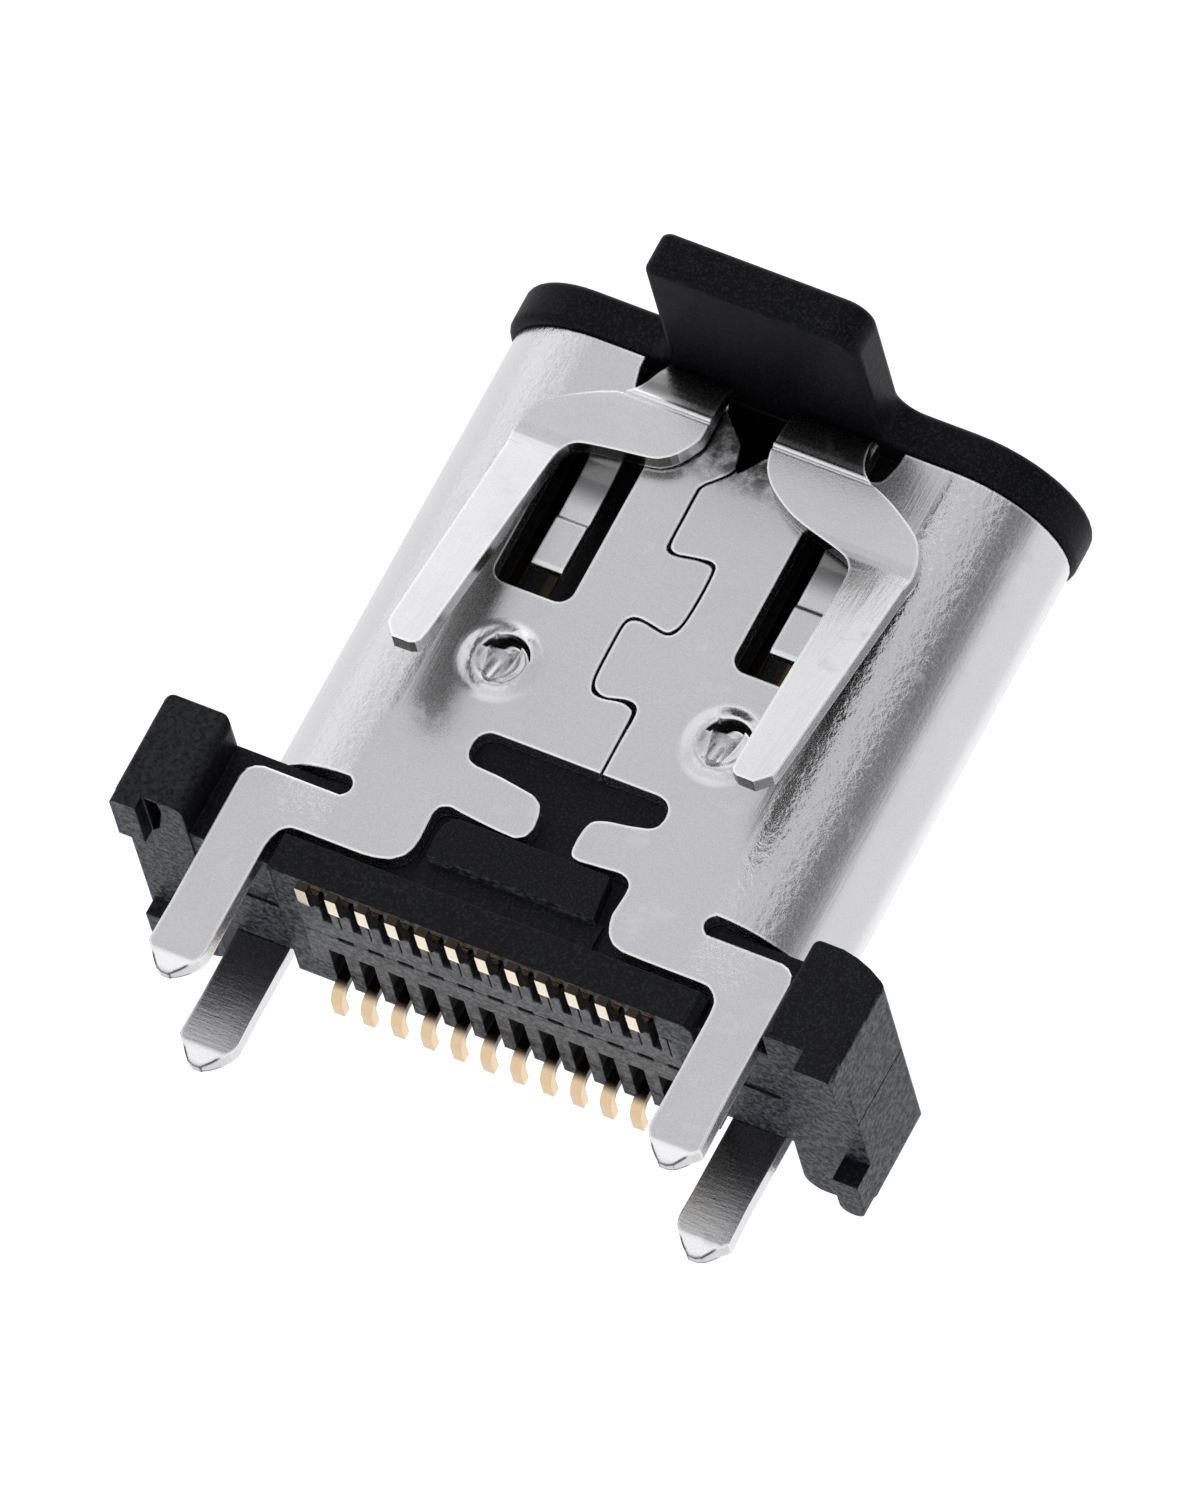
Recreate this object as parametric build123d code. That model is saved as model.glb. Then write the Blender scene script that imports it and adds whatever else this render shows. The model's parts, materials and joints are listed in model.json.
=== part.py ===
from build123d import *
import os
import math

os.makedirs("parts", exist_ok=True)

# Vertical (top-entry) board-mount receptacle, 24 contacts in two rows.
# Millimetres. x = long side of the mouth, -y = the face with the folded seam,
# +z = the way the plug pulls out. Origin: middle of the board seating plane.

# ---- driving dimensions ----------------------------------------------------
shell_half_w = 4.64        # half width of the stamped tube
shell_r = 1.62             # half depth = radius of the rounded ends
sheet = 0.30               # sheet thickness
mouth_z = 10.10            # mouth edge above the board
side_end_z = 2.14          # lower end of the rounded ends
wall_end_z = 1.05          # lower edge of the flat walls
wing_top_z = 1.79          # top edge of the wings that carry the legs
leg_in, leg_out = 3.70, 4.58
leg_tip_z = -1.82
slot_in = 2.94             # inner end of the slot above each wing

hem_gap = 0.03             # air between the wall and the folded-over flap
hem_z0 = 9.40              # where the folded mouth edge starts to curve over
hem_lean = 0.05            # the flap leans out a little towards the fold
beam_bend_z = 7.97         # below this the spring beams run straight, off the wall
beam_tip_z = {-1: 3.856, 1: 3.81}
beam_deg = {-1: 14.34, 1: 11.61}
fold_in = {-1: 0.64, 1: 0.42}   # inner end of each folded hem

seam_gap = 0.048
pitch = 0.50
n_row = 12

core_half_w = 3.52         # lower block of the housing, between the legs
core_y0, core_y1 = -1.60, 1.58
core_z0, core_z1 = 0.31, 0.92
floor_z = 3.80             # floor of the mouth
ear_front, ear_back = -2.08, 2.64
ear_z1 = 2.155

tongue_half_w = 3.345
tongue_half_t = 0.35
tongue_tip_z = 9.50

con_w = 0.18               # contact strip width
con_t = 0.15               # contact strip thickness

cap_half_w = 4.70
cap_r = 1.68
cap_z0, cap_z1 = 10.12, 10.83
tab_half_w = 1.765
tab_front = -4.61


def slab(sk, y0, y1):
    """Extrude an x-z outline between two y levels."""
    f = Plane.XZ.offset(-y0) * sk
    return extrude(f, amount=-(y1 - y0))


def poly(pts):
    return make_face(Polyline(*pts, close=True))


def soft(pts, cut=0.05):
    """Break every corner of a closed outline."""
    out = []
    m = len(pts)
    for i, (x, y) in enumerate(pts):
        for j in (i - 1, (i + 1) % m):
            xa, ya = pts[j]
            L = math.hypot(xa - x, ya - y)
            t = min(cut, 0.25 * L) / L
            out.append((x + (xa - x) * t, y + (ya - y) * t))
    return out


def smooth(pts, n=3):
    """Points along a curve through the given ones; a third value, if any, runs along."""
    out = []
    m = len(pts)
    for i in range(m - 1):
        p0, p1, p2, p3 = pts[max(i - 1, 0)], pts[i], pts[i + 1], pts[min(i + 2, m - 1)]
        for k in range(n):
            u = k / n
            out.append(tuple(0.5 * (2 * b + (c - a) * u + (2 * a - 5 * b + 4 * c - d) * u * u + (3 * b - a - 3 * c + d) * u ** 3)
                             for a, b, c, d in zip(p0, p1, p2, p3)))
    out.append(tuple(pts[-1]))
    return out


def box(x0, x1, y0, y1, z0, z1):
    return Pos((x0 + x1) / 2, (y0 + y1) / 2, (z0 + z1) / 2) * Box(x1 - x0, y1 - y0, z1 - z0)


def stadium(half_w, r, z0, z1):
    return Pos(0, 0, z0) * extrude(SlotOverall(2 * half_w, 2 * r), amount=z1 - z0)


def rounded_rect(x0, x1, z0, z1, r):
    return Pos((x0 + x1) / 2, (z0 + z1) / 2) * RectangleRounded(x1 - x0, z1 - z0, r)


def near(sk, x, y):
    """The vertex of a sketch closest to a point."""
    return min(sk.vertices(), key=lambda v: (v.X - x) ** 2 + (v.Y - y) ** 2)


def save(shape, name):
    shape.label = name
    export_step(shape, f"parts/{name}.step")


# ---- shell: one piece of stamped, wrapped and plated sheet ------------------
ri = shell_r - sheet
hwi = shell_half_w - sheet
tube = stadium(shell_half_w, shell_r, side_end_z, mouth_z) - stadium(hwi, ri, side_end_z - 1, mouth_z + 1)

flat = shell_half_w - shell_r

# outer edge of one wing and leg, from the wing top down to the middle of the tip
leg_edge = [(4.31, wing_top_z), (4.44, 1.75), (4.54, 1.66), (leg_out, 1.52), (leg_out, 0.53), (leg_out - 0.01, -0.76),
            (leg_out + 0.01, -1.44), (4.48, -1.56), (4.38, -1.69), (4.30, -1.78), (4.20, leg_tip_z)]
leg_inner = [(4.08, leg_tip_z), (3.94, -1.71), (3.82, -1.57), (3.72, -1.43), (3.69, -1.30), (3.70, -0.90), (3.70, 0.56)]


def skirt_outline():
    """Lower flat wall, wings and legs, as one outline."""
    pts = [(flat + 0.02, side_end_z + 0.9), (flat + 0.02, wing_top_z)] + leg_edge
    left = [(-x, z) for x, z in reversed(pts)]
    return poly(pts + left)


skirt = skirt_outline()
shell = tube + slab(skirt, -shell_r, -shell_r + sheet) + slab(skirt, shell_r - sheet, shell_r)

# slots above the wings, with round inner ends, running out through the sides
for s in (-1, 1):
    zc = (wing_top_z + side_end_z) / 2
    h = side_end_z - wing_top_z
    sk = Pos(s * (slot_in + 1.25), zc) * SlotOverall(2.5, h)
    shell -= slab(sk, -shell_r - 0.2, -shell_r + sheet + 0.2)
    shell -= slab(sk, shell_r - sheet - 0.2, shell_r + 0.2)

FY0, FY1 = -shell_r - 0.05, -shell_r + sheet + 0.05

# space between the legs, lower edge, cut-out, tabs and T slot of the front wall
edge_left = [(-3.70, 0.62), (-3.67, 0.79), (-3.61, 0.94), (-3.49, 1.03), (-3.33, wall_end_z - 0.01), (-2.30, wall_end_z - 0.01),
             (-2.10, 1.06), (-1.87, 1.12), (-1.70, 1.26), (-1.63, 1.42), (-1.61, 1.60), (-1.63, 2.06), (-1.58, 2.19), (-1.44, 2.25),
             (-1.26, 2.22), (-0.91, 2.18), (-0.56, 2.15), (-0.31, 2.14), (-0.17, 2.23), (-0.12, 2.40), (-0.15, 2.62),
             (-0.21, 2.78), (-0.36, 2.88), (-0.62, 2.92), (-0.97, 2.97), (-1.42, 3.00), (-1.54, 3.06), (-1.60, 3.17),
             (-1.61, 3.34), (-1.57, 3.48), (-1.45, 3.58), (-1.29, 3.59)]
edge_right = [(1.37, 3.59), (1.51, 3.54), (1.60, 3.43), (1.62, 3.26), (1.58, 3.12), (1.48, 3.04), (1.19, 2.97), (0.88, 2.92),
              (0.74, 2.88), (0.63, 2.82), (0.58, 2.69), (0.56, 2.50), (0.57, 2.29), (0.61, 2.19), (0.74, 2.16), (1.08, 2.19),
              (1.40, 2.22), (1.54, 2.18), (1.63, 2.08), (1.64, 1.92), (1.61, 1.55), (1.65, 1.38), (1.72, 1.23), (1.85, 1.11),
              (2.02, 1.06), (2.40, wall_end_z), (3.32, wall_end_z), (3.46, 1.04), (3.58, 0.96), (3.67, 0.84), (3.69, 0.72)]
void = edge_left + edge_right + list(reversed(leg_inner)) + [(4.08, -3.0), (-4.08, -3.0)] + [(-x, z) for x, z in leg_inner[:-1]]
shell -= slab(poly(soft(void, 0.03)), FY0, FY1)
back = [(-3.70, 0.72), (-3.62, 0.95), (-3.40, wall_end_z), (3.40, wall_end_z), (3.62, 0.95), (3.70, 0.72)]
back = back + list(reversed(leg_inner)) + [(4.08, -3.0), (-4.08, -3.0)] + [(-x, z) for x, z in leg_inner]
shell -= slab(poly(soft(back, 0.03)), -FY1, -FY0)

# windows around the two inward spring fingers
win_x0, win_x1, win_z0, win_z1 = 1.345, 2.66, 5.90, 8.80
for s in (-1, 1):
    wx0, wx1 = (win_x0, win_x1) if s > 0 else (-win_x1, -win_x0)
    shell -= slab(rounded_rect(wx0, wx1, win_z0, win_z1, 0.25), FY0, FY1)

# zig-zag interlocking seam, from the mouth notch down to the T slot: x, z, width of the gap
g0, g1, g2 = seam_gap, 0.070, 0.100
seam_pts = [(-0.04, 8.95, g0), (-0.10, 8.80, g0), (-0.25, 8.63, g0), (-0.40, 8.46, g0), (-0.42, 8.27, g0), (-0.415, 7.90, g0),
            (-0.41, 7.50, g0), (-0.38, 7.34, g1), (-0.24, 7.29, g0), (-0.05, 7.32, g0), (0.13, 7.35, g0), (0.33, 7.35, g1),
            (0.41, 7.22, g0), (0.42, 6.70, g0), (0.39, 6.29, g0), (0.31, 6.10, g1), (0.20, 6.05, g0), (0.00, 6.08, g0),
            (-0.17, 6.11, g0), (-0.34, 6.09, g1), (-0.43, 5.96, g0), (-0.44, 5.60, g0), (-0.43, 5.10, g0), (-0.40, 4.90, g0),
            (-0.32, 4.78, g1), (-0.16, 4.74, g0), (0.00, 4.77, g0), (0.15, 4.80, g1), (0.30, 4.78, g2), (0.39, 4.66, g1),
            (0.395, 4.20, g0), (0.40, 3.50, g0)]
run = smooth(seam_pts, 3)
side_a, side_b = [], []
for i, (x, z, g) in enumerate(run):
    xa, za = run[max(i - 1, 0)][:2]
    xb, zb = run[min(i + 1, len(run) - 1)][:2]
    L = math.hypot(xb - xa, zb - za)
    nx, nz = -(zb - za) / L * g / 2, (xb - xa) / L * g / 2
    side_a.append((x + nx, z + nz))
    side_b.append((x - nx, z - nz))
shell -= slab(poly(side_a + side_b[::-1]), FY0, FY1)

# mouth centre opening and the two relief notches beside the folded hems
centre = poly([(-0.78, mouth_z + 0.2), (-0.70, 9.82), (-0.17, 9.30), (-0.07, 8.90), (0.00, 8.86), (0.08, 8.95),
               (0.26, 9.22), (0.48, 9.42), (0.52, mouth_z + 0.2)])
shell -= slab(centre, FY0, FY1)
for s in (-1, 1):
    notch = poly([(s * 1.72, mouth_z + 0.2), (s * 2.18, mouth_z + 0.2), (s * 2.16, 9.90), (s * 2.09, 9.62),
                  (s * 2.04, 9.54), (s * 1.93, 9.49), (s * 1.80, 9.50), (s * 1.72, 9.60)])
    shell -= slab(notch, FY0, FY1)

# mouth edge between notch and centre folds out and down: hem, L-shaped flap and spring beam in one
yw, fy_in = -shell_r, -shell_r - hem_gap
fy_out = fy_in - sheet
arc_a = [math.radians(a) for a in range(180, 89, -9)]
fold_outer = [(yw + (fy_out - hem_lean - yw) * -math.cos(a), hem_z0 + (mouth_z - hem_z0) * math.sin(a)) for a in arc_a]
fold_inner = [(yw + sheet * math.cos(math.radians(a)), mouth_z - 0.42 + 0.42 * math.sin(math.radians(a))) for a in range(80, -1, -10)]
loop = [(yw + sheet, 9.45), (yw, 9.45), (-1.618, 9.62), (-1.603, 9.73), (-1.622, 9.80), (-1.655, 9.825), (-1.690, 9.79), (-1.708, 9.70),
        (-1.706, 9.55), (fy_in - hem_lean, hem_z0)]
outline_of = {
    1: [(0.42, 10.3), (0.42, 9.35), (0.43, 9.18), (0.50, 8.95), (0.66, 8.74), (0.85, 8.59), (1.10, 8.44), (1.40, 8.32), (1.96, 8.17),
        (2.22, 8.08), (2.34, 7.98), (2.41, 7.84), (2.44, 7.60)],
    -1: [(0.64, 10.3), (0.63, 9.35), (0.63, 9.10), (0.67, 8.94), (0.85, 8.66), (1.02, 8.52), (1.20, 8.45), (1.67, 8.39), (2.20, 8.31),
         (2.39, 8.24), (2.49, 8.11), (2.53, 7.92), (2.54, 7.60)],
}
for s in (-1, 1):
    tn = math.tan(math.radians(beam_deg[s]))
    cs = math.cos(math.radians(beam_deg[s]))
    yo, zo = fy_out - 0.035, beam_bend_z
    z_lo = 3.2
    prof = [(yo - tn * (zo - z_lo), z_lo), (yo, zo), (fy_out - 0.012, 8.08), (fy_out - 0.003, 8.18), (fy_out - 0.003, 8.30)]
    prof += [(fy_out - 0.046, 9.265), (fy_out - 0.012, 9.282), (fy_out - 0.012, 9.298), (fy_out - 0.060, 9.320), (fy_out - 0.066, 9.365)]
    prof += fold_outer + fold_inner + loop
    prof += [(fy_in - 0.003, 8.30), (fy_in - 0.004, 8.15), (fy_in - 0.016, 8.02), (yo + sheet / cs - tn * 0.05, zo - 0.05),
             (yo + sheet / cs - tn * (zo - z_lo), z_lo)]
    x0, x1 = sorted((s * 0.3, s * 3.6))
    sheet_run = extrude(make_face(Polyline(*[(x0, y, z) for y, z in prof], close=True)), amount=x1 - x0, dir=(1, 0, 0))
    tz = beam_tip_z[s]
    inner = outline_of[s]
    tip = [(2.57, tz + 0.33), (2.59, tz + 0.13), (2.64, tz + 0.05), (2.72, tz + 0.01), (3.00, tz), (3.20, tz + 0.23), (3.22, tz + 0.33)]
    outer = smooth([(3.30, 7.90), (3.335, 8.10), (3.30, 8.36), (3.21, 8.58), (3.08, 8.76), (2.80, 8.95), (2.42, 9.16), (2.09, 9.29),
                    (1.93, 9.40), (1.81, 9.58), (1.745, 9.80), (1.70, 9.95)], 2)
    ring = smooth(inner, 2) + tip + outer + [(1.70, 10.3)]
    xa, xb = sorted((fold_in[s] * s, s * 1.71))
    shell -= box(xa, xb, yw - 0.1, yw + sheet + 0.01, 9.45, mouth_z + 0.1)
    body = sheet_run & slab(poly([(s * x, z) for x, z in ring]), -4.2, yw + sheet + 0.1)
    # the part of the outline beyond the hem's own width belongs to the flap only
    body -= box(*sorted((s * 1.71, s * 2.2)), fy_in + 0.001, yw + sheet + 0.2, 9.0, mouth_z + 0.2)
    # shallow ridge down the outer face of the beam
    for w in (-1, 1):
        ends = []
        for depth, z in ((0.003, -0.05), (0.052, -4.6)):
            pts = [(s * 2.92, 0.0, z), (s * (2.92 + w * 0.56), -0.02, z), (s * (2.92 + w * 0.56), depth, z)]
            ends.append(make_face(Polyline(*pts, close=True)))
        body -= Pos(0, yo, zo) * Rot(-beam_deg[s], 0, 0) * loft(ends, ruled=True)
    shell += body

# inward spring fingers, one piece with the wall at the mouth side of each window
for s in (-1, 1):
    face = [(yw, win_z1 + 0.05), (yw, win_z1 - 0.05), (yw + 0.07, 8.55), (yw + 0.15, 8.30), (yw + 0.19, 8.02), (yw + 0.21, 7.32), (yw + 0.17, 7.25),
            (yw + 0.15, 6.50), (yw + 0.17, 6.43)]
    prof = face + [(y + 0.20, z) for y, z in reversed(face)]
    x0, x1 = sorted((s * 1.735, s * 2.245))
    f = make_face(Polyline(*[(x0, y, z) for y, z in prof], close=True))
    shell += extrude(f, amount=x1 - x0, dir=(1, 0, 0))

# lanced dimples: sheared open along an arc on the mouth side, pressed in as a sloping spoon below it,
# with the skin around it pushed up in a low ring
dim_z, dim_r = 4.71, 0.235
for s in (-1, 1):
    x = s * 1.86
    ring = smooth([(0.24, 0.0), (0.33, 0.022), (0.44, 0.034), (0.56, 0.022), (0.68, 0.004), (0.72, 0.0)], 2)
    face = make_face(Polyline(*([(x + r, yw - h, dim_z) for r, h in ring] + [(x + 0.72, yw + 0.05, dim_z), (x + 0.24, yw + 0.05, dim_z)]), close=True))
    shell += revolve(face, Axis((x, yw, dim_z), (0, 1, 0)), 360)
    shell += (Pos(x, yw - 0.13, dim_z) * Sphere(0.64)) & box(x - 1, x + 1, yw + sheet - 0.02, yw + 0.9, 4.0, 5.02)
    # the spoon: a round groove that runs inward towards the shear
    slope = math.radians(21)
    tip_y, tip_z = yw - dim_r / math.cos(slope) + 0.03, 4.44
    shell -= Pos(x - 0.02, tip_y, tip_z) * Rot(-21, 0, 0) * (Sphere(dim_r) + Pos(0, 0, 0.34) * Cylinder(dim_r, 0.68))
    cres = (Circle(0.40) - Pos(0.03, -0.12) * Circle(0.40)) & (Pos(0, 0.35) * Rectangle(1.2, 0.56))
    shell -= slab(Pos(x + 0.04, dim_z + 0.05) * cres, FY0, yw + 0.9)

# coined leg tips: bevels on both broad faces
for s in (-1, 1):
    for w in (-1, 1):
        for y_face, into in ((shell_r, -1), (ri, 1)):
            wedge = poly([(w * (y_face + into * d), leg_tip_z + h) for d, h in
                          ((-0.08, -0.10), (-0.08, 0.38), (0.0, 0.31), (0.022, 0.19), (0.055, 0.07), (0.10, -0.04), (0.13, -0.10))])
            f = Plane.YZ * wedge
            shell -= Pos(s * 4.13 - 0.6, 0, 0) * extrude(f, amount=1.2, dir=(1, 0, 0))

# ---- contacts ---------------------------------------------------------------


def contact(path, rad=0.225):
    line = FilletPolyline(*path, radius=rad)
    start = line @ 0
    t = line % 0
    pl = Plane(origin=start, z_dir=t, x_dir=(1, 0, 0))
    return sweep(pl * Rectangle(con_w, con_t), path=line)


ht = con_t / 2
front_path_y = -1.355
rear_path_y = 1.435
foot_end_y = 1.95
row_y = 0.30
jog_z = 0.78
long_idx = (1, 4, 9, 12)        # ground and power positions reach nearer the mouth
contacts = {}
for i in range(1, n_row + 1):
    x = (i - 6.5) * pitch
    top = 9.06 if i in long_idx else 8.72
    fp = [(x, -foot_end_y, ht), (x, front_path_y, ht), (x, front_path_y, jog_z), (x, -row_y, jog_z), (x, -row_y, top)]
    contacts[f"contact_front_{i:02d}"] = contact(fp)
    rp = [(x, foot_end_y, ht), (x, rear_path_y, ht), (x, rear_path_y, jog_z), (x, row_y, jog_z), (x, row_y, top)]
    contacts[f"contact_rear_{i:02d}"] = contact(rp)

# ---- mid plate between the rows ----------------------------------------------
mid_plate = box(-3.0, 3.0, -0.05, 0.05, 1.30, 3.70) + box(-3.30, 3.30, -0.05, 0.05, 3.70, 9.38)
for s in (-1, 1):
    mid_plate -= box(*sorted((s * 3.10, s * 3.40)), -0.1, 0.1, 6.9, 7.9)
mid_plate -= Pos(0, 0, 5.0) * Rot(90, 0, 0) * Cylinder(0.35, 1)

# ---- tongue moulding ----------------------------------------------------------
tongue = box(-tongue_half_w, tongue_half_w, -tongue_half_t, tongue_half_t, floor_z - 0.6, tongue_tip_z)
tip_edges = tongue.edges().filter_by(Axis.X).group_by(Axis.Z)[-1]
tongue = chamfer(tip_edges, 0.16)
tongue += box(-3.05, 3.05, -0.62, 0.62, floor_z - 0.6, 4.90)
for i in range(1, n_row + 1):
    x = (i - 6.5) * pitch
    top = 9.06 if i in long_idx else 8.72
    for sy in (-1, 1):
        b = box(x - con_w / 2, x + con_w / 2, *sorted((sy * (row_y - ht), sy * (row_y + ht))), 0, top)
        tongue -= b
tongue -= mid_plate

# ---- contact carriers ---------------------------------------------------------
car_half = 3.18
car_front, car_rear = -0.86, 0.98
front_carrier = box(-car_half, car_half, car_front, -0.01, core_z0, floor_z - 0.62)
rear_carrier = box(-car_half, car_half, 0.01, car_rear, core_z0, floor_z - 0.62)
for i in range(1, n_row + 1):
    x = (i - 6.5) * pitch
    w = con_w / 2
    front_carrier -= box(x - w, x + w, -1.1, -row_y + ht, jog_z - ht, jog_z + ht)
    front_carrier -= box(x - w, x + w, -row_y - ht, -row_y + ht, jog_z - ht, 5)
    rear_carrier -= box(x - w, x + w, row_y - ht, 1.1, jog_z - ht, jog_z + ht)
    rear_carrier -= box(x - w, x + w, row_y - ht, row_y + ht, jog_z - ht, 5)
    # room for the inside of the bend between the two legs of each contact
    front_carrier -= box(x - w, x + w, -0.55, -row_y, jog_z - ht, jog_z + 0.30)
    rear_carrier -= box(x - w, x + w, row_y, 0.55, jog_z - ht, jog_z + 0.30)
    # narrow slots and fine parting grooves in the underside
    front_carrier -= box(x - 0.02, x + 0.14, -0.90, -0.45, core_z0 - 0.1, 0.60)
    front_carrier -= box(x + 0.265, x + 0.295, -0.90, -0.37, core_z0 - 0.1, core_z0 + 0.06)
    front_carrier -= box(x + 0.15, x + 0.42, -0.06, 0.0, core_z0 - 0.1, core_z0 + 0.05)
    rear_carrier -= box(x + 0.15, x + 0.42, 0.0, 0.06, core_z0 - 0.1, core_z0 + 0.10)
    rear_carrier -= box(x - 0.10, x + 0.17, 0.50, 1.1, core_z0 - 0.1, 0.86)
front_carrier -= mid_plate
rear_carrier -= mid_plate

# ---- base housing ---------------------------------------------------------------
hous = stadium(4.32, 1.30, 0.9, floor_z)
block = Pos(0, (core_y0 + core_y1) / 2) * Rectangle(2 * core_half_w, core_y1 - core_y0)
block = chamfer(near(block, core_half_w, core_y0), 0.12)
hous += Pos(0, 0, core_z0) * extrude(block, amount=core_z1 - core_z0)
# arms out to the ears: the underside steps down a little behind the middle
hous += box(-5.00, 4.80, -1.30, 1.30, 0.49, 2.08)
hous += box(-5.00, 4.80, 0.0, 1.30, 0.44, 1.0)
# raised block in the cut-out of the shell, on a recessed step
step = [(-1.40, 1.40), (-1.42, 1.74), (-1.38, 1.95), (-1.30, 2.06), (-1.20, 2.11), (1.26, 2.11), (1.30, 2.08), (1.38, 1.40)]
hous += slab(poly(step), -1.62, -1.2)
hous += box(-1.50, 1.50, -1.40, -1.2, 0.90, 1.43)
# small flash along the left lower edge of the block
hous += box(-core_half_w, -core_half_w + 0.05, -1.58, -0.64, core_z0 - 0.025, core_z0 + 0.05)


def ear_plan(x_in, x_out, r_front_in):
    sk = Pos((x_in + x_out) / 2, (ear_front + ear_back) / 2) * Rectangle(abs(x_out - x_in), ear_back - ear_front)
    r_in = 0.33
    sk = fillet(near(sk, x_out, ear_back), min(0.93, abs(x_out - x_in) - r_in - 0.02))
    sk = fillet(near(sk, x_in, ear_back), r_in)
    sk = fillet(near(sk, x_out, ear_front), 0.10)
    return fillet(near(sk, x_in, ear_front), r_front_in)


# right ear: rounded over towards the outside
prof = make_face([Line((4.73, 0.43), (4.73, ear_z1)), Line((4.73, ear_z1), (5.22, ear_z1)),
                  ThreePointArc((5.22, ear_z1), (5.70, 2.03), (6.05, 1.84)), Line((6.05, 1.84), (6.03, 0.43)),
                  Line((6.03, 0.43), (4.73, 0.43))])
prof = fillet(near(prof, 4.73, ear_z1), 0.15)
prof = fillet(near(prof, 6.05, 1.84), 0.10)
ear_r = (Pos(0, 0, 0.3) * extrude(ear_plan(4.73, 6.06, 0.10), amount=2.2)) & slab(prof, ear_front - 0.1, ear_back + 0.1)
ear_r -= box(6.01, 6.2, -0.195, -0.165, 0.3, 1.90)
hous += ear_r
pad_f = Pos((5.42 + 6.03) / 2, (ear_front - 1.30) / 2) * Rectangle(0.61, ear_front * -1 - 1.30)
pad_f = fillet(near(pad_f, 6.03, ear_front), 0.10)
hous += Pos(0, 0, 0.08) * extrude(pad_f, amount=0.45)
foot_r = Pos((5.61 + 6.03) / 2, (1.08 + 2.05) / 2) * Rectangle(0.42, 0.97)
foot_r = fillet([near(foot_r, 5.61, 2.05), near(foot_r, 6.03, 2.05)], 0.20)
hous += extrude(foot_r, amount=0.55)

# left ear: flat topped, its feet a little shorter
prof = poly([(-4.95, 0.45), (-4.95, ear_z1), (-6.05, ear_z1), (-6.05, 0.45)])
prof = fillet(near(prof, -4.95, ear_z1), 0.15)
prof = fillet(near(prof, -6.05, ear_z1), 0.17)
ear_l = (Pos(0, 0, 0.3) * extrude(ear_plan(-4.95, -6.05, 0.20), amount=2.2)) & slab(prof, ear_front - 0.1, ear_back + 0.1)
pocket = poly([(-5.58, -2.02), (-5.36, -2.02), (-5.33, -1.75), (-5.45, -1.20), (-5.58, -1.05)])
ear_l -= extrude(pocket, amount=0.80)
hous += ear_l
pad_l = Pos(-5.82, (ear_front - 1.03) / 2) * Rectangle(0.44, ear_front * -1 - 1.03)
pad_l = fillet(near(pad_l, -6.04, ear_front), 0.10)
hous += Pos(0, 0, 0.22) * extrude(pad_l, amount=0.35)
foot_l = Pos((-5.98 - 5.55) / 2, (1.33 + 2.05) / 2) * Rectangle(0.43, 0.72)
foot_l = fillet([near(foot_l, -5.98, 2.05), near(foot_l, -5.55, 2.05)], 0.20)
hous += Pos(0, 0, 0.15) * extrude(foot_l, amount=0.42)

# pocket for the two carriers and openings for the contacts
hous -= box(-car_half, car_half, car_front, car_rear, 0, floor_z - 0.62)
hous -= box(-3.05, 3.05, -0.62, 0.62, floor_z - 0.7, floor_z + 0.1)
hous -= box(-tongue_half_w, tongue_half_w, -tongue_half_t, tongue_half_t, floor_z - 0.7, floor_z + 0.1)
for i in range(1, n_row + 1):
    x = (i - 6.5) * pitch
    hous -= box(x - 0.15, x + 0.15, -1.46, car_front + 0.01, 0, 0.86)
    hous -= box(x + 0.20, x + 0.36, -0.925, -0.895, core_z0 - 0.1, core_z0 + 0.06)
    hous -= box(x + 0.265, x + 0.295, -0.90, -0.85, core_z0 - 0.1, core_z0 + 0.06)
    hous -= box(x - 0.10, x + 0.17, car_rear - 0.01, 1.7, 0, 0.86)

# ---- ground pads on the root of the tongue ----------------------------------------
pads = {}
for nm, sy in (("front_ground_pad", -1), ("rear_ground_pad", 1)):
    pads[nm] = box(-2.95, 2.95, *sorted((sy * 0.62, sy * 0.72)), floor_z + 0.02, 4.88)

# ---- pick-up cap ---------------------------------------------------------------------
plan = (SlotOverall(2 * cap_half_w, 2 * cap_r) & (Pos(3, 0) * Rectangle(6, 6))) + \
       (RectangleRounded(2 * cap_half_w, 2 * cap_r, 1.35) & (Pos(-3, 0) * Rectangle(6, 6)))
plan += Pos(0, (tab_front - 1.0) / 2) * Rectangle(2 * tab_half_w, -tab_front - 1.0)
plan = fillet([near(plan, -tab_half_w, -cap_r), near(plan, tab_half_w, -cap_r)], 0.40)
plan = fillet(near(plan, -tab_half_w, tab_front), 0.20)
plan = fillet(near(plan, tab_half_w, tab_front), 0.45)
cap = Pos(0, 0, cap_z0) * extrude(plan, amount=cap_z1 - cap_z0)
cap = fillet(cap.edges().group_by(Axis.Z)[-1], 0.12)
lower_front = cap.edges().group_by(Axis.Z)[0].filter_by(Axis.X).sort_by(Axis.Y)[0]
cap = fillet(lower_front, 0.13)
ring = stadium(4.22, 1.20, 9.55, cap_z0 + 0.1) - stadium(3.72, 0.78, 9.0, cap_z0)
ring -= box(-0.9, 0.9, -1.4, -0.7, 9.0, cap_z0 - 0.02)
cap += ring

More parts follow.
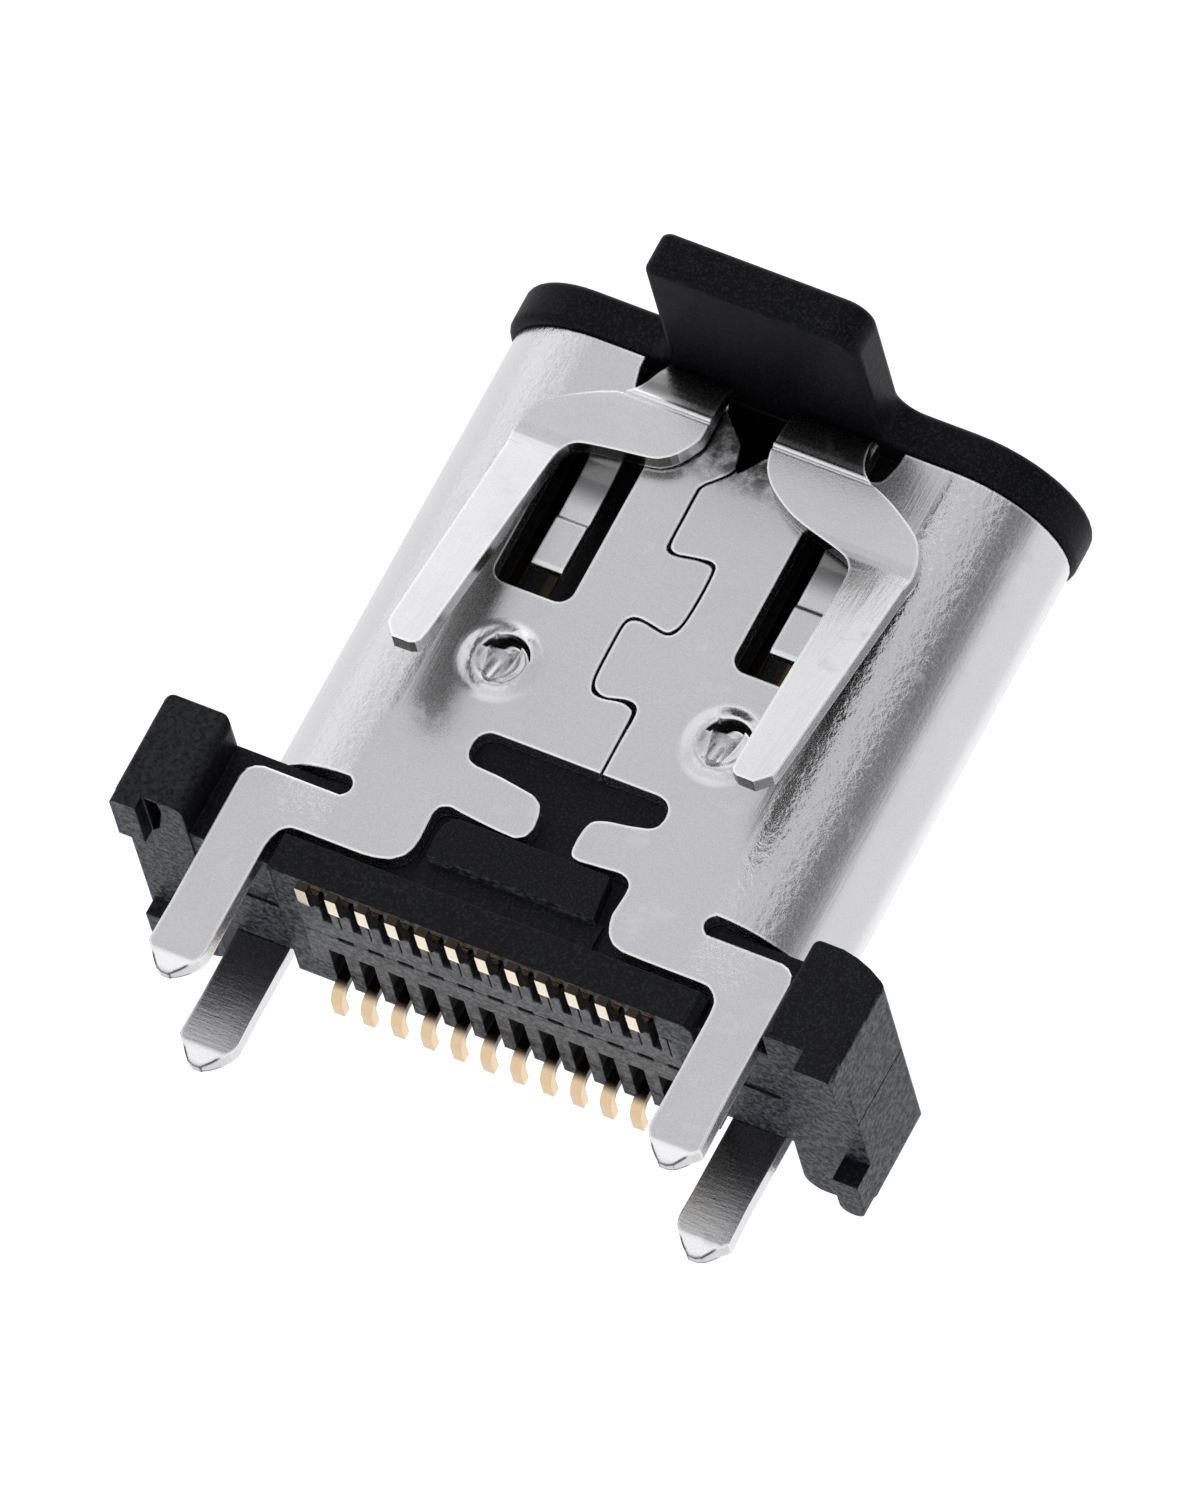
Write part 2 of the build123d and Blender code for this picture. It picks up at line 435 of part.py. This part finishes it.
# ---- write everything -----------------------------------------------------------------
save(shell, "shell")
save(hous, "base_housing")
save(front_carrier, "front_contact_carrier")
save(rear_carrier, "rear_contact_carrier")
save(tongue, "tongue")
save(mid_plate, "mid_plate")
for nm, p in pads.items():
    save(p, nm)
for nm, c in contacts.items():
    save(c, nm)
save(cap, "pick_up_cap")
print("solids", {n: len(s.solids()) for n, s in (("shell", shell), ("hous", hous), ("fc", front_carrier), ("rc", rear_carrier), ("tongue", tongue), ("mid", mid_plate), ("cap", cap))})
print("housing box", hous.bounding_box(), "cap box", cap.bounding_box(), "shell box", shell.bounding_box())
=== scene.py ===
import json
import math

import bpy
from mathutils import Matrix, Vector

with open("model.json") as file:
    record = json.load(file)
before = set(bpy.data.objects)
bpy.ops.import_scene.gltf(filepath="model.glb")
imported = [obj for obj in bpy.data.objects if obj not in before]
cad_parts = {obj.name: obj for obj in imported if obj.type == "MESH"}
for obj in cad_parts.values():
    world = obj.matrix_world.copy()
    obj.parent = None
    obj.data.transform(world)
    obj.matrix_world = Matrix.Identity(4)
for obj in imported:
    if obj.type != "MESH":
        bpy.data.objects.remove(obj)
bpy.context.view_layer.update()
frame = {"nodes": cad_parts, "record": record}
nodes = frame["nodes"]
MM = 0.001


# ---------------------------------------------------------------- camera ----
def camera():
    """Long lens, from the front right and from below, rolled."""
    az, el, roll = (math.radians(a) for a in (20.88, -21.65, 28.819))
    dist, tx, ty, f_px = 540.931, 0.114, 1.020, 36718.2
    back = Vector((math.sin(az) * math.cos(el), -math.cos(az) * math.cos(el), math.sin(el)))
    fwd = -back
    right = fwd.cross(Vector((0, 0, 1))).normalized()
    up = right.cross(fwd)
    r2 = right * math.cos(roll) + up * math.sin(roll)
    u2 = up * math.cos(roll) - right * math.sin(roll)
    pos = back * dist + r2 * tx + u2 * ty + Vector((0, 0, 3.545))
    cam = bpy.data.objects.new("camera", bpy.data.cameras.new("camera"))
    bpy.context.scene.collection.objects.link(cam)
    rot = Matrix((r2, u2, -fwd)).transposed()
    cam.matrix_world = Matrix.Translation(pos * MM) @ rot.to_4x4()
    cam.data.sensor_fit = "AUTO"
    cam.data.sensor_width = 36.0
    cam.data.lens = f_px / 1500.0 * 36.0
    cam.data.clip_start = 0.05
    cam.data.clip_end = 20.0
    bpy.context.scene.camera = cam
    return cam


cam = camera()


# ------------------------------------------------------------- materials ----
class Tree:
    def __init__(self, name):
        self.mat = bpy.data.materials.new(name)
        self.mat.use_nodes = True
        self.nt = self.mat.node_tree
        self.nt.nodes.clear()
        self.out = self.nt.nodes.new("ShaderNodeOutputMaterial")
        self.bsdf = self.nt.nodes.new("ShaderNodeBsdfPrincipled")
        self.nt.links.new(self.bsdf.outputs[0], self.out.inputs["Surface"])
        self.coord = self.nt.nodes.new("ShaderNodeTexCoord")

    def node(self, kind, **props):
        n = self.nt.nodes.new(kind)
        for k, v in props.items():
            setattr(n, k, v)
        return n

    def link(self, a, b):
        self.nt.links.new(a, b)

    def mapped(self, scale):
        m = self.node("ShaderNodeMapping")
        m.inputs["Scale"].default_value = scale
        self.link(self.coord.outputs["Object"], m.inputs["Vector"])
        return m.outputs[0]

    def noise(self, scale, detail=2.0, rough=0.5, vec=None, stretch=(1, 1, 1)):
        n = self.node("ShaderNodeTexNoise")
        n.inputs["Scale"].default_value = scale
        n.inputs["Detail"].default_value = detail
        n.inputs["Roughness"].default_value = rough
        self.link(vec if vec is not None else self.mapped(stretch), n.inputs["Vector"])
        return n.outputs[0]

    def ramp(self, fac, stops):
        r = self.node("ShaderNodeValToRGB")
        els = r.color_ramp.elements
        while len(els) < len(stops):
            els.new(0.5)
        for e, (p, c) in zip(els, stops):
            e.position = p
            e.color = (c, c, c, 1) if isinstance(c, float) else (*c, 1)
        self.link(fac, r.inputs["Fac"])
        return r.outputs[0]

    def mix(self, a, b, fac):
        m = self.node("ShaderNodeMix", data_type="RGBA")
        for sock, v in ((m.inputs[6], a), (m.inputs[7], b)):
            if isinstance(v, tuple):
                sock.default_value = (*v, 1)
            else:
                self.link(v, sock)
        if isinstance(fac, float):
            m.inputs[0].default_value = fac
        else:
            self.link(fac, m.inputs[0])
        return m.outputs[2]

    def math(self, op, a, b):
        m = self.node("ShaderNodeMath", operation=op)
        for i, v in enumerate((a, b)):
            if isinstance(v, float):
                m.inputs[i].default_value = v
            else:
                self.link(v, m.inputs[i])
        return m.outputs[0]

    def place(self):
        """Position in the part's own frame (metres) and the face direction there."""
        out = []
        for name in ("Object", "Normal"):
            sep = self.node("ShaderNodeSeparateXYZ")
            self.link(self.coord.outputs[name], sep.inputs[0])
            out.append(tuple(sep.outputs))
        return out

    def band(self, sock, a, b):
        """0 at a, 1 at b, smooth between."""
        m = self.node("ShaderNodeMapRange", interpolation_type="SMOOTHSTEP")
        m.inputs["From Min"].default_value = a
        m.inputs["From Max"].default_value = b
        self.link(sock, m.inputs["Value"])
        return m.outputs[0]

    def soft_edges(self, radius_mm):
        """Rounded look of real edges: rolled and sheared sheet, softened mould corners."""
        b = self.node("ShaderNodeBevel")
        b.samples = 6
        b.inputs["Radius"].default_value = radius_mm * MM
        return b.outputs[0]

    def edge_mask(self, radius_mm, lo=0.995, hi=0.93):
        """1 on the narrow rounding of an edge, 0 on open faces."""
        b = self.node("ShaderNodeBevel")
        b.samples = 8
        b.inputs["Radius"].default_value = radius_mm * MM
        g = self.node("ShaderNodeNewGeometry")
        d = self.node("ShaderNodeVectorMath", operation="DOT_PRODUCT")
        self.link(b.outputs[0], d.inputs[0])
        self.link(g.outputs["Normal"], d.inputs[1])
        return self.band(d.outputs["Value"], lo, hi)

    def bump(self, height, strength, dist, normal=None):
        b = self.node("ShaderNodeBump")
        b.inputs["Strength"].default_value = strength
        b.inputs["Distance"].default_value = dist
        self.link(height, b.inputs["Height"])
        if normal is not None:
            self.link(normal, b.inputs["Normal"])
        return b.outputs[0]

    def set(self, **kw):
        for k, v in kw.items():
            sock = self.bsdf.inputs[k.replace("_", " ")]
            if isinstance(v, (int, float)):
                sock.default_value = v
            elif isinstance(v, tuple):
                sock.default_value = (*v, 1)
            else:
                self.link(v, sock)
        return self.mat


def plated_sheet():
    t = Tree("plated_sheet")
    grain = t.noise(26000, 3, 0.6)
    cloud = t.noise(900, 3, 0.5)
    (px, py, pz), (nx, ny, nz) = t.place()
    absx = t.math("ABSOLUTE", px, 0.0)
    # stretched skin where the wall starts to wrap round the ends
    wrap = t.math("MULTIPLY", t.band(absx, 2.90 * MM, 3.15 * MM), t.math("SUBTRACT", 1.0, t.band(absx, 3.75 * MM, 4.25 * MM)))
    near_bend = t.band(absx, 1.9 * MM, 2.7 * MM)
    on_beam = t.band(py, -1.99 * MM, -2.08 * MM)
    off_flap = t.math("SUBTRACT", 1.0, t.band(py, -1.68 * MM, -1.74 * MM))
    wrap = t.math("MULTIPLY", t.math("MULTIPLY", wrap, off_flap), t.band(pz, 0.8 * MM, 1.6 * MM))
    below_mouth = t.math("SUBTRACT", 1.0, t.band(pz, 8.8 * MM, 9.1 * MM))
    on_beam = t.math("MULTIPLY", on_beam, below_mouth)
    # masks: the beams' downward end faces; painted shade on the inner faces of the rear legs
    off_wall = t.math("MULTIPLY", t.band(py, -1.66 * MM, -1.72 * MM), t.math("SUBTRACT", 1.0, t.band(pz, 9.15 * MM, 9.3 * MM)))
    end_cut = t.math("MULTIPLY", off_wall, t.band(nz, -0.45, -0.8))
    inner_leg_shade = t.math("MULTIPLY", t.band(py, 1.0 * MM, 1.1 * MM), t.band(ny, -0.5, -0.9))
    inner_leg_shade = t.math("MULTIPLY", inner_leg_shade, t.band(pz, -1.7 * MM, -0.1 * MM))
    beam_back = t.math("MULTIPLY", off_wall, t.band(ny, 0.1, 0.5))
    hem = t.math("MULTIPLY", t.band(pz, 9.36 * MM, 9.55 * MM), t.band(py, -1.66 * MM, -1.72 * MM))
    # painted shade on the back of the beams and on the fold, and darker downward end faces of the beams; the legs'
    # inner faces get painted shade below
    shade_and_end_cuts = t.math("MAXIMUM", end_cut, t.math("MULTIPLY", beam_back, 0.78))
    shade_and_end_cuts = t.math("MAXIMUM", shade_and_end_cuts, t.math("MULTIPLY", hem, 0.75))
    tone = t.ramp(grain, [(0.25, (0.655, 0.655, 0.665)), (0.75, (0.775, 0.775, 0.785))])
    tone = t.mix(tone, t.ramp(cloud, [(0.3, (0.68, 0.68, 0.69)), (0.7, (0.745, 0.745, 0.755))]), 0.4)
    # painted highlight: edge roundings made near-white
    edge = t.edge_mask(0.10, 0.99, 0.93)
    # the left flap lies flush on the wall along its upper outline, so the painted rim highlight is mostly taken off
    # there
    flush = t.math("MULTIPLY", t.band(px, -2.3 * MM, -2.9 * MM), t.band(pz, 8.1 * MM, 8.5 * MM))
    edge = t.math("MULTIPLY", edge, t.math("SUBTRACT", 1.0, t.math("MULTIPLY", flush, 0.85)))
    # painted highlight on the edge roundings
    tone = t.mix(tone, (0.98, 0.98, 0.99), edge)
    # painted shade: a darker, mottled patch on the wall between the hems below the tab, and on the spring fingers
    # where they meet the wall
    seam_shade = t.math("MULTIPLY", off_flap, t.math("SUBTRACT", 1.0, t.band(absx, 0.7 * MM, 1.35 * MM)))
    seam_shade = t.math("MULTIPLY", seam_shade, t.band(pz, 8.4 * MM, 8.95 * MM))
    seam_shade = t.math("MULTIPLY", seam_shade, t.band(t.noise(5200, 3, 0.6), 0.30, 0.62))
    # painted shade between the hems
    tone = t.mix(tone, (0.12, 0.12, 0.123), t.math("MULTIPLY", seam_shade, 0.92))
    root_shade = t.math("MULTIPLY", t.band(absx, 1.40 * MM, 1.45 * MM), t.band(absx, 2.62 * MM, 2.57 * MM))
    root_shade = t.math("MULTIPLY", root_shade, t.math("MULTIPLY", off_flap, t.band(py, -0.9 * MM, -1.0 * MM)))
    root_shade = t.math("MULTIPLY", root_shade, t.math("MULTIPLY", t.band(pz, 7.45 * MM, 7.95 * MM), t.band(pz, 8.84 * MM, 8.78 * MM)))
    # painted shade where each spring finger meets the wall
    tone = t.mix(tone, (0.09, 0.09, 0.092), t.math("MULTIPLY", root_shade, 0.85))
    # leg ends: painted highlight on the front-down facets, and the edge roundings at the very ends made dark
    tip_highlight = t.math("MULTIPLY", t.band(pz, -1.48 * MM, -1.58 * MM), t.band(ny, -0.55, -0.75))
    tone = t.mix(tone, (0.95, 0.95, 0.96), t.math("MULTIPLY", tip_highlight, 0.8))
    tone = t.mix(tone, (0.10, 0.10, 0.105), t.math("MULTIPLY", edge, t.band(pz, -1.56 * MM, -1.64 * MM)))
    # painted shade on the inner faces of the rear legs
    tone = t.mix(tone, (0.11, 0.11, 0.113), t.math("MULTIPLY", inner_leg_shade, 0.9))
    # painted shade on the beam backs and the fold, and darker beam end faces
    tone = t.mix(tone, (0.075, 0.07, 0.065), shade_and_end_cuts)
    # dull handling patches
    patch = t.band(t.noise(1500, 4, 0.6), 0.60, 0.70)
    rough = t.ramp(grain, [(0.2, 0.19), (0.8, 0.31)])
    rough = t.mix(rough, (0.42, 0.42, 0.42), t.math("MULTIPLY", patch, 0.7))
    rough = t.mix(rough, (0.34, 0.34, 0.34), edge)
    n = t.bump(grain, 0.36, 0.000003, t.soft_edges(0.045))
    # faint waviness of the rolled sheet, finer and stronger on the wrapped ends
    wavy = t.noise(2600, 2, 0.5)
    n = t.bump(wavy, 0.35, 0.000006, n)
    peel = t.noise(9000, 3, 0.62, stretch=(1, 1, 0.85))
    n = t.bump(t.math("MULTIPLY", peel, wrap), 1.0, 0.000026, n)
    # fine cross grain on the inner faces of the rear legs
    cross = t.noise(15000, 2, 0.6, stretch=(0.2, 1, 1.5))
    n = t.bump(t.math("MULTIPLY", cross, t.math("MULTIPLY", t.band(py, 1.0 * MM, 1.1 * MM), t.band(pz, 0.2 * MM, 0.0))), 0.6, 0.000005, n)
    # draw lines along the beams and, fainter, down the wall beside them
    lines = t.noise(9000, 2, 0.6, stretch=(2.2, 1, 0.07))
    drawn = t.math("MAXIMUM", on_beam, t.math("MULTIPLY", near_bend, 0.45))
    n = t.bump(t.math("MULTIPLY", lines, drawn), 0.8, 0.000006, n)
    # skin pushed up, and a little uneven, round the lanced dimples
    dx = t.math("SUBTRACT", absx, 1.86 * MM)
    dz = t.math("SUBTRACT", pz, 4.71 * MM)
    dist = t.math("SQRT", t.math("ADD", t.math("MULTIPLY", dx, dx), t.math("MULTIPLY", dz, dz)), 0.0)
    lip = t.math("MULTIPLY", t.band(dist, 0.28 * MM, 0.42 * MM), t.math("SUBTRACT", 1.0, t.band(dist, 0.44 * MM, 0.66 * MM)))
    lip = t.math("MULTIPLY", lip, t.math("ADD", t.noise(3200, 2, 0.6), 0.35))
    n = t.bump(t.math("MULTIPLY", lip, off_flap), 1.0, 0.000045, n)
    return t.set(Base_Color=tone, Metallic=1.0, Roughness=rough, Normal=n)


def plate_steel():
    t = Tree("plate_steel")
    grain = t.noise(12000, 3, 0.6)
    tone = t.ramp(grain, [(0.25, (0.50, 0.50, 0.51)), (0.75, (0.66, 0.66, 0.67))])
    n = t.bump(grain, 0.2, 0.000004, t.soft_edges(0.015))
    return t.set(Base_Color=tone, Metallic=1.0, Roughness=0.36, Normal=n)


def black_plastic(name, base, rough, spec, grain_scale=11000, bump=0.5, edge=0.04, speck=2.6, sheen_tone=None):
    """Matt moulding: fine eroded grain, paler specks, and edges paler from wear and painted highlight; the last
    argument gives a painted sheen, a paler mottled tone on the right ear's outer face and on down-facing faces.
    """
    t = Tree(name)
    grain = t.noise(grain_scale, 3, 0.65)
    fine = t.noise(grain_scale * 2.3, 2, 0.6)
    cloud = t.noise(500, 3, 0.5)
    lo = tuple(c * 0.55 for c in base)
    hi = tuple(c * 1.6 for c in base)
    tone = t.ramp(grain, [(0.3, lo), (0.72, hi)])
    tone = t.mix(tone, t.ramp(cloud, [(0.3, lo), (0.7, base)]), 0.3)
    pale = tuple(min(1.0, c * speck + 0.004) for c in base)
    tone = t.mix(tone, pale, t.band(fine, 0.50, 0.64))
    if sheen_tone:
        (px, py, pz), (nx, ny, nz) = t.place()
        # painted sheen on the right ear's outer face and on down-facing faces
        sheen_faces = t.math("MAXIMUM", t.math("MULTIPLY", t.band(nx, 0.5, 0.8), t.band(px, 4.9 * MM, 5.1 * MM)), t.band(nz, -0.5, -0.8))
        # the left ear's front is made a little paler
        left_front_paler = t.math("MULTIPLY", t.band(px, -4.9 * MM, -5.1 * MM), t.band(ny, -0.5, -0.8))
        tone = t.mix(tone, (0.026, 0.027, 0.031), t.math("MULTIPLY", t.math("MULTIPLY", left_front_paler, t.band(grain, 0.35, 0.65)), 0.8))
        mottled = t.mix(tuple(c * 0.2 for c in sheen_tone), tuple(c * 2.9 for c in sheen_tone), t.band(t.noise(11000, 3, 0.75), 0.38, 0.66))
        tone = t.mix(tone, mottled, sheen_faces)
    # edges paler from wear and painted highlight
    wear_and_highlight = t.math("MULTIPLY", t.edge_mask(0.03), t.band(grain, 0.35, 0.65))
    tone = t.mix(tone, tuple(c * 4 + 0.012 for c in base), t.math("MULTIPLY", wear_and_highlight, 0.6))
    r = t.ramp(fine, [(0.25, rough - 0.09), (0.75, rough + 0.10)])
    n = t.bump(grain, bump, 0.000008, t.soft_edges(edge))
    n = t.bump(fine, bump * 0.7, 0.000004, n)
    return t.set(Base_Color=tone, Roughness=r, Normal=n, Specular_IOR_Level=spec)


def gold():
    t = Tree("contact_gold")
    grain = t.noise(14000, 2, 0.5)
    (px, py, pz), (nx, ny, nz) = t.place()
    tone = t.ramp(grain, [(0.3, (0.93, 0.67, 0.40)), (0.7, (1.0, 0.79, 0.50))])
    # painted highlight: the down-facing soles of the front feet made paler; the rear tails get a deeper, darker tone
    front = t.math("MULTIPLY", t.band(py, -1.20 * MM, -1.30 * MM), t.band(pz, 0.50 * MM, 0.35 * MM))
    tone = t.mix(tone, (1.0, 0.89, 0.71), t.math("MULTIPLY", front, t.band(nz, -0.5, -0.8)))
    tone = t.mix(tone, (0.80, 0.60, 0.385), t.math("MULTIPLY", t.band(py, 1.0 * MM, 1.1 * MM), 0.75))
    # painted shade on the front end faces and the flanks of the front feet
    foot_shade = t.math("MULTIPLY", t.band(py, -1.89 * MM, -1.93 * MM), t.band(ny, -0.5, -0.8))
    foot_side_shade = t.math("MULTIPLY", front, t.band(t.math("ABSOLUTE", nx, 0.0), 0.45, 0.7))
    foot_shade = t.math("MAXIMUM", foot_shade, foot_side_shade)
    # painted shade on the contacts within the mouth
    mouth_shade = t.band(pz, 1.6 * MM, 2.4 * MM)
    # painted shade on the front feet's end faces and flanks
    tone = t.mix(tone, (0.020, 0.018, 0.016), t.math("MULTIPLY", foot_shade, 0.97))
    # painted shade within the mouth
    tone = t.mix(tone, (0.05, 0.04, 0.028), t.math("MULTIPLY", mouth_shade, 0.93))
    # painted shade on the upper part of the rear tails, where they leave the moulding
    root_shade = t.math("MULTIPLY", t.band(py, 1.0 * MM, 1.1 * MM), t.band(pz, 0.11 * MM, 0.25 * MM))
    tone = t.mix(tone, (0.045, 0.04, 0.035), t.math("MULTIPLY", root_shade, 0.93))
    n = t.bump(grain, 0.15, 0.000003, t.soft_edges(0.02))
    return t.set(Base_Color=tone, Metallic=1.0, Roughness=0.26, Normal=n)


mats = {
    "plated_sheet": plated_sheet(),
    "plate_steel": plate_steel(),
    "housing_plastic": black_plastic("housing_plastic", (0.0036, 0.0039, 0.0050), 0.43, 0.13, bump=1.0,
                                     speck=3.2, sheen_tone=(0.034, 0.0362, 0.042)),
    "carrier_plastic": black_plastic("carrier_plastic", (0.008, 0.0085, 0.010), 0.43, 0.50, bump=1.2,
                                     speck=4.0, sheen_tone=(0.036, 0.0375, 0.041)),
    "cap_plastic": black_plastic("cap_plastic", (0.0026, 0.0028, 0.0037), 0.46, 0.08, bump=1.0, speck=3.6),
    "contact_gold": gold(),
}
slot_of = {s["node"]: s["material_slot"] for s in frame["record"]["subparts"]}
for name, ob in nodes.items():
    m = mats[slot_of[name]]
    if ob.material_slots:
        for sl in ob.material_slots:
            sl.material = m
    else:
        ob.data.materials.append(m)

# ------------------------------------------------------------ light, floor --
def area(name, loc, target, size, power, color=(1, 1, 1)):
    d = bpy.data.lights.new(name, "AREA")
    d.shape = "RECTANGLE"
    d.size, d.size_y = size
    d.energy = power
    d.color = color
    o = bpy.data.objects.new(name, d)
    bpy.context.scene.collection.objects.link(o)
    o.location = loc
    o.rotation_mode = "QUATERNION"
    o.rotation_quaternion = (Vector(target) - Vector(loc)).to_track_quat("-Z", "Y")
    return o


centre = (0, 0, 0.005)
area("softbox_top", (-0.12, -0.40, 0.70), centre, (0.60, 0.60), 0.22)
area("softbox_left", (-0.75, -0.35, 0.30), centre, (0.7, 0.7), 0.35)


def studio_world():
    """A white room with soft dark flags: each flag is a smooth patch around one direction."""
    w = bpy.data.worlds.new("studio")
    bpy.context.scene.world = w
    w.use_nodes = True
    nt = w.node_tree
    nt.nodes.clear()
    out = nt.nodes.new("ShaderNodeOutputWorld")
    bg = nt.nodes.new("ShaderNodeBackground")
    bg.inputs["Strength"].default_value = 1.0
    tc = nt.nodes.new("ShaderNodeTexCoord")
    sep = nt.nodes.new("ShaderNodeSeparateXYZ")
    nt.links.new(tc.outputs["Generated"], sep.inputs[0])
    ramp = nt.nodes.new("ShaderNodeValToRGB")
    ramp.color_ramp.interpolation = "EASE"
    e0, e1 = ramp.color_ramp.elements
    e0.position, e0.color = 0.42, (0.68, 0.68, 0.69, 1)
    e1.position, e1.color = 0.56, (1.15, 1.15, 1.17, 1)
    half = nt.nodes.new("ShaderNodeMapRange")
    half.inputs["From Min"].default_value = -1
    half.inputs["From Max"].default_value = 1
    nt.links.new(sep.outputs["Y"], half.inputs["Value"])
    nt.links.new(half.outputs[0], ramp.inputs["Fac"])
    col = ramp.outputs[0]
    for d, inner, outer, c in FLAGS:
        v = Vector(d).normalized()
        dot = nt.nodes.new("ShaderNodeVectorMath")
        dot.operation = "DOT_PRODUCT"
        dot.inputs[1].default_value = v
        nt.links.new(tc.outputs["Generated"], dot.inputs[0])
        mr = nt.nodes.new("ShaderNodeMapRange")
        mr.interpolation_type = "SMOOTHSTEP"
        mr.inputs["From Min"].default_value = math.cos(math.radians(outer))
        mr.inputs["From Max"].default_value = math.cos(math.radians(inner))
        nt.links.new(dot.outputs["Value"], mr.inputs["Value"])
        mx = nt.nodes.new("ShaderNodeMix")
        mx.data_type = "RGBA"
        nt.links.new(mr.outputs[0], mx.inputs[0])
        nt.links.new(col, mx.inputs[6])
        mx.inputs[7].default_value = (*c, 1)
        col = mx.outputs[2]
    nt.links.new(col, bg.inputs["Color"])
    nt.links.new(bg.outputs[0], out.inputs[0])


FLAGS = [
    ((-0.33, -0.93, -0.13), 9, 28, (1.05, 1.05, 1.06)),      # low bright band in front
    ((0.80, -0.50, 0.30), 6, 27, (0.17, 0.17, 0.175)),       # flag on the right
    ((-0.33, -0.08, 0.94), 12, 36, (1.7, 1.7, 1.7)),         # overhead
    ((-0.30, -0.55, 0.78), 8, 20, (1.0, 1.0, 1.0)),       # lower overhead, what the beams show
    ((-0.95, -0.10, 0.30), 10, 40, (0.85, 0.85, 0.86)),      # left
    ((-0.80, 0.50, 0.36), 14, 30, (0.95, 0.95, 0.97)),       # left, behind
    ((0.78, 0.48, 0.37), 20, 40, (0.90, 0.90, 0.92)),        # right, behind
]
studio_world()

floor_me = bpy.data.meshes.new("floor")
s, z = 3.0, -0.62
floor_me.from_pydata([(-s, -s, z), (s, -s, z), (s, s, z), (-s, s, z)], [], [(0, 1, 2, 3)])
floor = bpy.data.objects.new("floor", floor_me)
bpy.context.scene.collection.objects.link(floor)
ft = Tree("floor")
ft.set(Base_Color=(0.86, 0.86, 0.86), Roughness=0.8)
floor_me.materials.append(ft.mat)

scene = bpy.context.scene
scene.view_settings.view_transform = "Standard"
scene.view_settings.look = "None"
